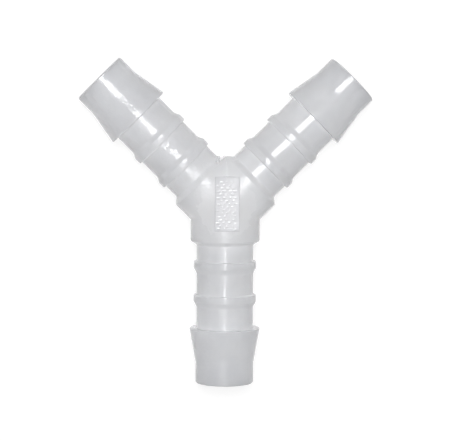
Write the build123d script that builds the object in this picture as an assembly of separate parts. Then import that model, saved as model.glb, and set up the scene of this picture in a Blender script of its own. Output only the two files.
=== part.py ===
from build123d import *
import os

# Y hose connector for 12 mm hose, injection moulded in one piece.
# Lengths in mm. Origin: the point where the three bore axes cross. The axes lie in the
# XY plane, which is also the mould's parting plane: the stem runs towards -Y and the
# branches 45 degrees either side of +Y. +Z is the side that carries the marking table.
# Along every arm, s is the distance from the origin and r the distance from its axis.

BORE_R = 4.5            # through bore of every arm
HUB_R = 7.2             # outside of the hub, up to the shoulders
HUB_END = 7.35          # s where the shoulders start
NECK_R = 5.92           # hose seat between the barbs
SMALL_BARB_R = 6.5
SMALL_BARBS = (11.6, 18.6)   # s of their steep faces, which hold the hose
SMALL_LAND = 1.45       # flat top of a small barb
SMALL_RUN = 0.95        # its slope back down to the neck
LARGE_BARB_R = 7.33
LARGE_BARB = 25.6       # s of its steep face
TAPER_END = 32.8        # s where its long taper meets the nose
NOSE_R = 6.05           # plain nose that the hose is started on
REACH = 37.15           # s of the end faces
LEAD = 0.3              # chamfer of the bore's mouth

BRANCH_ANGLE = 45.0     # between a branch and +Y
BRANCH_SHOULDER = 8.45  # s where a branch's 45 degree shoulder meets its neck
STEM_SHOULDER = 8.15    # the same on the stem, where it is steeper

SHARP = 0.0             # chamfers that ease the moulded edges of an arm's section
EDGE = 0.15             # outer edges of the hub and the large barb
BARB_EDGE = 0.13        # crests of the small barbs
ROOT = 0.12             # foot of each steep face
SHOULDER_FOOT = 0.15
RUN_TOP = 0.12          # a small barb's land into its slope
RUN_FOOT = 0.25         # and the slope into the neck
TIP = 0.25

TABLE_X = (-2.5, 2.6)   # marking table on the hub's crest
TABLE_Y = (-5.0, 6.25)
TABLE_Z = 6.85

NICK = [(5.85, 7.35, SHARP), (7.7, 7.42, SHARP), (7.7, 9.8, SHARP)]   # section (r, s)
NICK_ARC = 80.0         # how far the nick runs round the left branch

PAST = 1.0              # how far the cutting tools stand out of the body

ARMS = {"left": BRANCH_ANGLE, "right": -BRANCH_ANGLE, "stem": 180.0}   # turn about Z from +Y


def turned(corners, arc=360.0):
    """Turn a closed half section about +Y. Each corner is (r, s, length of its chamfer)."""
    section = make_face(Polyline(*[(r, s) for r, s, _ in corners], close=True))
    for r, s, length in corners:
        if length > SHARP:
            corner = section.vertices().sort_by_distance(Vector(r, s, 0))[0]
            section = chamfer(corner, length)
    return revolve(section, Axis.Y, arc)


def outside(shoulder_end):
    """One arm without its bore: hub end, shoulder, neck, two small barbs, large barb, nose."""
    corners = [
        (0.0, 0.0, SHARP),
        (HUB_R, 0.0, SHARP),
        (HUB_R, HUB_END, EDGE),
        (NECK_R, shoulder_end, SHOULDER_FOOT),
    ]
    for s in SMALL_BARBS:
        corners += [
            (NECK_R, s, ROOT),
            (SMALL_BARB_R, s, BARB_EDGE),
            (SMALL_BARB_R, s + SMALL_LAND, RUN_TOP),
            (NECK_R, s + SMALL_LAND + SMALL_RUN, RUN_FOOT),
        ]
    corners += [
        (NECK_R, LARGE_BARB, ROOT),
        (LARGE_BARB_R, LARGE_BARB, EDGE),
        (NOSE_R, TAPER_END, SHARP),
        (NOSE_R, REACH, TIP),
        (0.0, REACH, SHARP),
    ]
    return turned(corners)


def bore():
    """Core pin of one arm, with the chamfer of its mouth."""
    return turned([
        (0.0, 0.0, SHARP),
        (BORE_R, 0.0, SHARP),
        (BORE_R, REACH - LEAD, SHARP),
        (BORE_R + LEAD + PAST, REACH + PAST, SHARP),
        (0.0, REACH + PAST, SHARP),
    ])


def block(x, y, z):
    """Box between the given limits on each axis."""
    return Pos(sum(x) / 2, sum(y) / 2, sum(z) / 2) * Box(x[1] - x[0], y[1] - y[0], z[1] - z[0])


# the three arms meet in the hub, where their equal cylinders mitre into one another
body = Part()
for name, turn in ARMS.items():
    arm = outside(STEM_SHOULDER if name == "stem" else BRANCH_SHOULDER)
    body += arm.rotate(Axis.Z, turn)

# marking table: it stands out of the valley between the branches and is let into the
# crest towards the stem
body += block(TABLE_X, TABLE_Y, ((BORE_R + TABLE_Z) / 2, TABLE_Z))
body -= block(TABLE_X, TABLE_Y, (TABLE_Z, HUB_R + PAST))

# nick in the left branch's shoulder, beside the crotch, left by trimming the gate
nick = turned(NICK, NICK_ARC).rotate(Axis.Y, -NICK_ARC / 2)
body -= nick.rotate(Axis.Z, ARMS["left"])

for turn in ARMS.values():
    body -= bore().rotate(Axis.Z, turn)

connector = body.solid()
connector.label = "y_connector"

os.makedirs("parts", exist_ok=True)
export_step(connector, "parts/y_connector.step")

low, high = connector.bounding_box().min, connector.bounding_box().max
print("faces", len(connector.faces()), "valid", connector.is_valid, "volume mm3", round(connector.volume, 1))
print("box", [round(v, 3) for v in low], [round(v, 3) for v in high])
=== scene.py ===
import math
import random

import bmesh
import bpy
from mathutils import Matrix, Vector


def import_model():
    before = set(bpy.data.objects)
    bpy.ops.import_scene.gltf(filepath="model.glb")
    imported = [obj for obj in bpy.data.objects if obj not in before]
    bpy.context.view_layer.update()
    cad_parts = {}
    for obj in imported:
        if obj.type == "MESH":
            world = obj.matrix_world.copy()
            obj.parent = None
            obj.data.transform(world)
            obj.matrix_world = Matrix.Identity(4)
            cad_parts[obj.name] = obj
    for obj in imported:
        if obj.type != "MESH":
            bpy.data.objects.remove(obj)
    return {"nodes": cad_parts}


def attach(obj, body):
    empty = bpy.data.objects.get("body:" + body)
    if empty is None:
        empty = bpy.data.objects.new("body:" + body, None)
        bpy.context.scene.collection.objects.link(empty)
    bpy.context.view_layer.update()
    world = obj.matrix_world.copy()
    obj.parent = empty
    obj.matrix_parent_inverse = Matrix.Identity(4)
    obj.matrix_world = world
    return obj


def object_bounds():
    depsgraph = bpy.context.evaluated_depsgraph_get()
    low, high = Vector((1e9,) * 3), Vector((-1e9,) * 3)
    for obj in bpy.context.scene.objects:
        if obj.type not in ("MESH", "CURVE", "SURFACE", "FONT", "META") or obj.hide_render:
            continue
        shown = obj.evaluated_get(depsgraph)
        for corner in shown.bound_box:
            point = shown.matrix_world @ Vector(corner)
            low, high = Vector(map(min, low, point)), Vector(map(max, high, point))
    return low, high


# Y hose connector of natural, slightly translucent plastic, lying on a white table.
# Everything is in metres in the frame of the CAD part: the origin is where the three bore
# axes cross, the stem runs towards -Y and +Z is up.

MM = 0.001
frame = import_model()
cad_low, cad_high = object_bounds()
connector = frame["nodes"]["y_connector"]


# ---------- materials ----------

# natural polymer
SHADE_A = (0.585, 0.59, 0.612, 1.0)     # two close tones that flow into one another
SHADE_B = (0.635, 0.638, 0.655, 1.0)
# pale colour of the painted light in the grooves
CORNER_PAINTED_LIGHT = (0.97, 0.975, 0.98, 1.0)
REFRACTION = 1.52
SPECULAR_LEVEL = 0.42
MILKINESS = 0.6                         # share of the light that travels inside it
TRAVEL = (1.0, 0.95, 0.9)               # how far red, green and blue do, relative to its depth
SKIN = (0.08, 0.15)                     # roughness of the brightest and the dullest patches
WAVE_HEIGHT = 0.055 * MM
WAVES_ELSEWHERE = 0.1                   # share of the waviness away from the left branch's crest

# scales of its noises, in cycles per metre, and the range in which nearly all noise lies
FLOW_SCALE = 160.0
PATCH_SCALE = 420.0
WAVE_SCALE = 1400.0
GRAIN_SCALE = 2400.0
NOISE_RANGE = (0.3, 0.7)

# painted light: grooves are lightened towards a pale colour, to offset the shade that falls in
# them
CORNER_REACH = 1.2 * MM                 # how near other faces close a corner in
CORNER_OPEN = 0.35                      # openness at which a corner is lightened most
CORNER_PAINTED_LIFT = 0.18                      # and by how much

# where looks fade in, from none to full
HUB_FADE = (12.0 * MM, 3.5 * MM)        # distance from the hub's middle, seen from above
LEFT_FADE = (-1.5 * MM, -3.5 * MM)      # x at the left branch
CREST_FADE = (2.5 * MM, 5.0 * MM)       # z at the crest
FLOOR_FADE = (60.0 * MM, 300.0 * MM)    # distance from the floor's middle

# white table
PAPER = (0.8, 0.8, 0.8, 1.0)            # for the light that falls on it
SHADED_PAPER = (0.3, 0.3, 0.3, 1.0)     # for the eye: the part that shows a shadow
OWN_WHITE = 0.8                         # and the part that is white by itself, near the object


def new_material(name):
    """An empty node material, with its tree and its output node."""
    material = bpy.data.materials.new(name)
    material.use_nodes = True
    tree = material.node_tree
    tree.nodes.clear()
    output = tree.nodes.new("ShaderNodeOutputMaterial")
    return material, tree, output


def noise(tree, coords, scale, detail, roughness=0.5):
    """Noise texture on the object's own coordinates. scale is in cycles per metre."""
    node = tree.nodes.new("ShaderNodeTexNoise")
    node.inputs["Scale"].default_value = scale
    node.inputs["Detail"].default_value = detail
    node.inputs["Roughness"].default_value = roughness
    tree.links.new(coords, node.inputs["Vector"])
    return node.outputs["Fac"]


def spread(tree, value, low, high):
    """Map a noise value to low..high."""
    node = tree.nodes.new("ShaderNodeMapRange")
    node.inputs["From Min"].default_value = NOISE_RANGE[0]
    node.inputs["From Max"].default_value = NOISE_RANGE[1]
    node.inputs["To Min"].default_value = low
    node.inputs["To Max"].default_value = high
    tree.links.new(value, node.inputs["Value"])
    return node.outputs["Result"]


def fade(tree, value, span, low=0.0):
    """Rise smoothly from low to 1 as the value goes over the span, from its start to its end."""
    node = tree.nodes.new("ShaderNodeMapRange")
    node.interpolation_type = "SMOOTHSTEP"
    node.inputs["From Min"].default_value = span[0]
    node.inputs["From Max"].default_value = span[1]
    node.inputs["To Min"].default_value = low
    tree.links.new(value, node.inputs["Value"])
    return node.outputs["Result"]


def product(tree, first, second):
    """Multiply two values."""
    node = tree.nodes.new("ShaderNodeMath")
    node.operation = "MULTIPLY"
    tree.links.new(first, node.inputs[0])
    tree.links.new(second, node.inputs[1])
    return node.outputs["Value"]


def vector_length(tree, vector):
    """Length of a vector."""
    node = tree.nodes.new("ShaderNodeVectorMath")
    node.operation = "LENGTH"
    tree.links.new(vector, node.inputs[0])
    return node.outputs["Value"]


def bump(tree, height, distance, under=None):
    """Bump that is distance high, in metres, where height is 1. It can lie over another bump."""
    node = tree.nodes.new("ShaderNodeBump")
    node.inputs["Strength"].default_value = 1.0
    node.inputs["Distance"].default_value = distance
    tree.links.new(height, node.inputs["Height"])
    if under is not None:
        tree.links.new(under, node.inputs["Normal"])
    return node.outputs["Normal"]


def near_hub(tree, coords):
    """1 over the middle of the hub, falling to 0 by the first barbs."""
    flat = tree.nodes.new("ShaderNodeVectorMath")
    flat.operation = "MULTIPLY"
    flat.inputs[1].default_value = (1.0, 1.0, 0.0)
    tree.links.new(coords, flat.inputs[0])
    return fade(tree, vector_length(tree, flat.outputs["Vector"]), HUB_FADE)


def towards(tree, colour, shade, share):
    """Move the colour towards a fixed shade by the given share."""
    mixed = tree.nodes.new("ShaderNodeMix")
    mixed.data_type = "RGBA"
    mixed.inputs["B"].default_value = shade
    tree.links.new(colour, mixed.inputs["A"])
    tree.links.new(share, mixed.inputs["Factor"])
    return mixed.outputs["Result"]


def painted_corner_light(tree, colour):
    """Painted light: lighten the colour in grooves, to offset the shade that falls in them."""
    openness = tree.nodes.new("ShaderNodeAmbientOcclusion")
    openness.only_local = True
    openness.samples = 12
    openness.inputs["Distance"].default_value = CORNER_REACH
    painted_lift = tree.nodes.new("ShaderNodeMapRange")
    painted_lift.inputs["From Min"].default_value = CORNER_OPEN
    painted_lift.inputs["To Min"].default_value = CORNER_PAINTED_LIFT
    painted_lift.inputs["To Max"].default_value = 0.0
    tree.links.new(openness.outputs["AO"], painted_lift.inputs["Value"])
    return towards(tree, colour, CORNER_PAINTED_LIGHT, painted_lift.outputs["Result"])


def duller_hub(tree, near, roughness, more):
    """Raise the roughness over the middle of the hub, where the plastic sets last."""
    node = tree.nodes.new("ShaderNodeMath")
    node.operation = "MULTIPLY_ADD"
    node.inputs[1].default_value = more
    tree.links.new(near, node.inputs[0])
    tree.links.new(roughness, node.inputs[2])
    return node.outputs["Value"]


def natural_plastic(name, depth, hub_painted_paleness, hub_duller, grain):
    """Moulded natural polymer: milky, translucent, half-gloss, not quite even.

    depth is how far light travels in it, hub_painted_paleness its colour over the middle of the
    hub, where it is thickest, painted light that makes the thick hub look paler, hub_duller is
    added to its roughness there, and grain is the height of the mould's texture.
    """
    material, tree, output = new_material(name)
    coords = tree.nodes.new("ShaderNodeTexCoord").outputs["Object"]
    shader = tree.nodes.new("ShaderNodeBsdfPrincipled")
    shader.subsurface_method = "BURLEY"
    shader.inputs["IOR"].default_value = REFRACTION
    shader.inputs["Specular IOR Level"].default_value = SPECULAR_LEVEL
    shader.inputs["Subsurface Weight"].default_value = MILKINESS
    shader.inputs["Subsurface Radius"].default_value = TRAVEL
    shader.inputs["Subsurface Scale"].default_value = depth

    # milky flow of the melt: slow cloudy variation between two close tones
    tones = tree.nodes.new("ShaderNodeMix")
    tones.data_type = "RGBA"
    tones.inputs["A"].default_value = SHADE_A
    tones.inputs["B"].default_value = SHADE_B
    flow = spread(tree, noise(tree, coords, FLOW_SCALE, detail=4.0, roughness=0.6), 0.0, 1.0)
    tree.links.new(flow, tones.inputs["Factor"])
    near = near_hub(tree, coords)
    # painted light: the colour turns paler over the middle of the hub
    colour = towards(tree, tones.outputs["Result"], hub_painted_paleness, near)
    # the base colour carries painted light in the grooves
    tree.links.new(painted_corner_light(tree, colour), shader.inputs["Base Color"])

    # patches of duller and brighter skin
    patches = spread(tree, noise(tree, coords, PATCH_SCALE, detail=3.0), *SKIN)
    tree.links.new(duller_hub(tree, near, patches, hub_duller), shader.inputs["Roughness"])

    # flow waviness along the crest of the left branch, then the fine texture of the mould
    place = tree.nodes.new("ShaderNodeSeparateXYZ")
    tree.links.new(coords, place.inputs["Vector"])
    on_left = fade(tree, place.outputs["X"], LEFT_FADE, WAVES_ELSEWHERE)
    on_crest = fade(tree, place.outputs["Z"], CREST_FADE, WAVES_ELSEWHERE)
    swell = noise(tree, coords, WAVE_SCALE, detail=1.0)
    waves = bump(tree, product(tree, swell, product(tree, on_left, on_crest)), WAVE_HEIGHT)
    fine = bump(tree, noise(tree, coords, GRAIN_SCALE, detail=2.0), grain, waves)
    tree.links.new(fine, shader.inputs["Normal"])
    tree.links.new(shader.outputs["BSDF"], output.inputs["Surface"])
    return material


def seen_by_eye(tree):
    """1 for a ray that shows the surface: direct, in a reflection or through glass."""
    path = tree.nodes.new("ShaderNodeLightPath")
    shows = path.outputs["Is Camera Ray"]
    for name in ("Is Glossy Ray", "Is Transmission Ray"):
        either = tree.nodes.new("ShaderNodeMath")
        either.operation = "MAXIMUM"
        tree.links.new(shows, either.inputs[0])
        tree.links.new(path.outputs[name], either.inputs[1])
        shows = either.outputs["Value"]
    return shows


def white_table():
    """Pale paper. It looks white, fully so further out, and it keeps the part's soft shadow."""
    material, tree, output = new_material("white_table")
    paper = tree.nodes.new("ShaderNodeBsdfDiffuse")
    paper.inputs["Color"].default_value = PAPER
    shaded = tree.nodes.new("ShaderNodeBsdfDiffuse")
    shaded.inputs["Color"].default_value = SHADED_PAPER
    white = tree.nodes.new("ShaderNodeEmission")
    coords = tree.nodes.new("ShaderNodeTexCoord").outputs["Object"]
    brightness = fade(tree, vector_length(tree, coords), FLOOR_FADE, OWN_WHITE)
    tree.links.new(brightness, white.inputs["Strength"])
    seen = tree.nodes.new("ShaderNodeAddShader")
    tree.links.new(shaded.outputs["BSDF"], seen.inputs[0])
    tree.links.new(white.outputs["Emission"], seen.inputs[1])
    mix = tree.nodes.new("ShaderNodeMixShader")
    tree.links.new(seen_by_eye(tree), mix.inputs["Fac"])
    tree.links.new(paper.outputs["BSDF"], mix.inputs[1])
    tree.links.new(seen.outputs["Shader"], mix.inputs[2])
    tree.links.new(mix.outputs["Shader"], output.inputs["Surface"])
    return material


# the hub colours given here are painted light: paler over the hub's middle and over the whole
# marking table
plastic = natural_plastic(
    "natural_plastic", depth=30.0 * MM, hub_painted_paleness=(0.77, 0.775, 0.793, 1.0), hub_duller=0.2,
    grain=0.002 * MM)
spark_eroded = natural_plastic(
    "spark_eroded_plastic", depth=2.0 * MM, hub_painted_paleness=(0.68, 0.682, 0.705, 1.0), hub_duller=0.02,
    grain=0.01 * MM)


# ---------- the moulded body ----------

SHARP_FROM = math.radians(52.0)         # gentler edges of the body are shaded smooth
WELD = 0.001 * MM                       # joins the faces' doubled corners for the shading


def smooth_curved_faces(obj, sharp_from):
    """Shade curved faces smooth, up to that angle between faces, without touching the mesh."""
    weld = obj.modifiers.new("weld", "WELD")
    weld.merge_threshold = WELD
    group = bpy.data.node_groups.new("smooth_by_angle", "GeometryNodeTree")
    group.interface.new_socket("Geometry", in_out="INPUT", socket_type="NodeSocketGeometry")
    group.interface.new_socket("Geometry", in_out="OUTPUT", socket_type="NodeSocketGeometry")
    start = group.nodes.new("NodeGroupInput")
    end = group.nodes.new("NodeGroupOutput")
    faces = group.nodes.new("GeometryNodeSetShadeSmooth")
    faces.domain = "FACE"
    edges = group.nodes.new("GeometryNodeSetShadeSmooth")
    edges.domain = "EDGE"
    angle = group.nodes.new("GeometryNodeInputMeshEdgeAngle")
    gentle = group.nodes.new("FunctionNodeCompare")
    gentle.data_type = "FLOAT"
    gentle.operation = "LESS_THAN"
    gentle.inputs["B"].default_value = sharp_from
    group.links.new(start.outputs["Geometry"], faces.inputs["Geometry"])
    group.links.new(faces.outputs["Geometry"], edges.inputs["Geometry"])
    group.links.new(angle.outputs["Unsigned Angle"], gentle.inputs["A"])
    group.links.new(gentle.outputs["Result"], edges.inputs["Shade Smooth"])
    group.links.new(edges.outputs["Geometry"], end.inputs["Geometry"])
    shade = obj.modifiers.new("smooth", "NODES")
    shade.node_group = group
    weights = obj.modifiers.new("weights", "WEIGHTED_NORMAL")
    weights.keep_sharp = True
    weights.weight = 100


for slot in connector.material_slots:
    slot.material = plastic
smooth_curved_faces(connector, SHARP_FROM)


# ---------- raised relief on the marking table ----------

# marking table of the hub, as it is in the solid
TABLE_X = (-2.5 * MM, 2.6 * MM)
TABLE_Y = (-5.0 * MM, 6.25 * MM)
TABLE_Z = 6.85 * MM

RIB_HEIGHT = (0.02 * MM, 0.06 * MM)     # ribs differ a little, as worn punch marks do
RIB_LENGTH = (0.5 * MM, 1.0 * MM)
RIB_WIDTH = 0.5 * MM
RIB_SLOPE = 0.25 * MM                   # how far a rib's side takes to rise
RIB_STEP = 1.15 * MM                    # from rib to rib in a row
RIBS_IN_ROW = (4, 3)                    # in even rows and in odd rows
ROW_STEP = 0.64 * MM                    # from row to row
RIB_SHIFT = (0.18 * MM, 0.1 * MM)       # how far a rib may lie off its place, along x and y
RIB_MARGIN = 0.52 * MM                  # from the table's end to the first row
RIB_SEED = 5                            # of the random draws
SINK = 0.03 * MM                        # the table is dished by this much across its width
PROUD = 0.05 * MM                       # height of its edge over the solid's flat
RIM = 0.02 * MM                         # how far its rim goes down into the solid
GRID = 0.075 * MM                       # spacing of its mesh


def ribs_in_rows(draw):
    """Ribs as (x, y, length, height), in rows laid like bricks."""
    middle = (TABLE_X[0] + TABLE_X[1]) / 2
    rows = int((TABLE_Y[1] - TABLE_Y[0] - 2 * RIB_MARGIN) / ROW_STEP) + 1
    ribs = []
    for row in range(rows):
        in_row = RIBS_IN_ROW[row % 2]
        for i in range(in_row):
            x = middle + (i - (in_row - 1) / 2) * RIB_STEP
            x += draw.uniform(-RIB_SHIFT[0], RIB_SHIFT[0])
            y = TABLE_Y[0] + RIB_MARGIN + row * ROW_STEP
            y += draw.uniform(-RIB_SHIFT[1], RIB_SHIFT[1])
            ribs.append((x, y, draw.uniform(*RIB_LENGTH), draw.uniform(*RIB_HEIGHT)))
    return ribs


def rib_height(x, y, ribs):
    """Height of the ribs over the table at a point, with rounded crests and feet."""
    highest = 0.0
    for rib_x, rib_y, length, height in ribs:
        along = max(abs(x - rib_x) - (length - RIB_WIDTH) / 2, 0.0)
        inside = RIB_WIDTH / 2 - math.hypot(along, y - rib_y)
        rise = min(max(inside, 0.0) / RIB_SLOPE, 1.0)
        highest = max(highest, height * rise * rise * (3.0 - 2.0 * rise))
    return highest


def table_relief():
    """Skin of the marking table: dished, with low ribs in place of the marking."""
    columns = round((TABLE_X[1] - TABLE_X[0]) / GRID)
    rows = round((TABLE_Y[1] - TABLE_Y[0]) / GRID)
    middle = (TABLE_X[0] + TABLE_X[1]) / 2
    half = (TABLE_X[1] - TABLE_X[0]) / 2
    ribs = ribs_in_rows(random.Random(RIB_SEED))
    mesh = bmesh.new()
    lines = []
    for row in range(rows + 1):
        y = TABLE_Y[0] + (TABLE_Y[1] - TABLE_Y[0]) * row / rows
        line = []
        for column in range(columns + 1):
            x = TABLE_X[0] + (TABLE_X[1] - TABLE_X[0]) * column / columns
            if row in (0, rows) or column in (0, columns):
                z = TABLE_Z - RIM
            else:
                z = TABLE_Z + PROUD - SINK * (1.0 - ((x - middle) / half) ** 2)
                z += rib_height(x, y, ribs)
            line.append(mesh.verts.new((x, y, z)))
        lines.append(line)
    for below, above in zip(lines, lines[1:]):
        for i in range(columns):
            face = mesh.faces.new((below[i], below[i + 1], above[i + 1], above[i]))
            face.smooth = True
    data = bpy.data.meshes.new("table_relief")
    mesh.to_mesh(data)
    mesh.free()
    relief = bpy.data.objects.new("table_relief", data)
    bpy.context.scene.collection.objects.link(relief)
    data.materials.append(spark_eroded)
    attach(relief, "root")


table_relief()


# ---------- floor, camera, light ----------

FLOOR_HALF = 1.5                        # half the floor's side, in metres

# the camera that took the photograph
PHOTO_W = 474                           # width of the photograph in pixels
FOCAL_PX = 1917.0                       # its focal length in the same pixels
SENSOR = 36.0
CAMERA_AT = Vector((-19.7, 27.4, 397.0)) * MM
AIM_AT = Vector((2.45, -3.2, 0.0)) * MM   # what the middle of the frame looks at
ROLL = math.radians(0.38)               # the part lies this much clockwise
CLIP = (0.01, 10.0)                     # nearest and furthest distance shown, in metres

# lamps: name, place, width and height, share of full light on the part, turn about the beam
LAMPS = [
    ("key", Vector((-17.0, 91.0, 400.0)) * MM, (145.0 * MM, 165.0 * MM), 0.66, math.radians(39.5)),
    ("glint", Vector((-20.0, -44.0, 400.0)) * MM, (34.0 * MM, 34.0 * MM), 0.035, 0.0),
    ("soft", Vector((-60.0, -90.0, 480.0)) * MM, (250.0 * MM, 250.0 * MM), 0.145, 0.0),
]
SURROUNDINGS_SHARE = 0.15               # what the surroundings add to the lamps
WHITE = (1.0, 1.0, 1.0, 1.0)


def floor():
    """White table top that the three large barbs rest on."""
    data = bpy.data.meshes.new("floor")
    signs = ((-1, -1), (1, -1), (1, 1), (-1, 1))
    corners = [(x * FLOOR_HALF, y * FLOOR_HALF, cad_low.z) for x, y in signs]
    data.from_pydata(corners, [], [(0, 1, 2, 3)])
    data.materials.append(white_table())
    obj = bpy.data.objects.new("floor", data)
    bpy.context.scene.collection.objects.link(obj)


def camera():
    """Camera above the part, as the photograph was taken."""
    data = bpy.data.cameras.new("camera")
    data.sensor_width = SENSOR
    data.lens = FOCAL_PX / PHOTO_W * SENSOR
    data.clip_start, data.clip_end = CLIP
    obj = bpy.data.objects.new("camera", data)
    backward = (CAMERA_AT - AIM_AT).normalized()
    up = Vector((-math.sin(ROLL), math.cos(ROLL), 0.0))
    right = up.cross(backward).normalized()
    up = backward.cross(right)
    turn = Matrix((right, up, backward)).transposed().to_4x4()
    obj.matrix_world = Matrix.Translation(CAMERA_AT) @ turn
    bpy.context.scene.collection.objects.link(obj)
    bpy.context.scene.camera = obj


def area_light(name, at, size, share, turn):
    """Rectangular lamp that faces the origin and gives that share of full light there."""
    data = bpy.data.lights.new(name, "AREA")
    data.shape = "RECTANGLE"
    data.size, data.size_y = size
    distance = at.length
    data.energy = share * math.pi ** 2 * distance ** 2
    obj = bpy.data.objects.new(name, data)
    aim = at.to_track_quat("Z", "Y").to_matrix().to_4x4()
    obj.matrix_world = Matrix.Translation(at) @ aim @ Matrix.Rotation(turn, 4, "Z")
    bpy.context.scene.collection.objects.link(obj)


def world(strength):
    """Even white surroundings, which light the part at the given strength and look fully white."""
    scene_world = bpy.data.worlds.new("surroundings")
    scene_world.use_nodes = True
    tree = scene_world.node_tree
    background = tree.nodes["Background"]
    background.inputs["Color"].default_value = WHITE
    look = tree.nodes.new("ShaderNodeMapRange")
    look.inputs["To Min"].default_value = strength
    look.inputs["To Max"].default_value = 1.0
    tree.links.new(seen_by_eye(tree), look.inputs["Value"])
    tree.links.new(look.outputs["Result"], background.inputs["Strength"])
    bpy.context.scene.world = scene_world


floor()
camera()
for lamp in LAMPS:
    area_light(*lamp)
world(SURROUNDINGS_SHARE)
bpy.context.scene.view_settings.view_transform = "Standard"
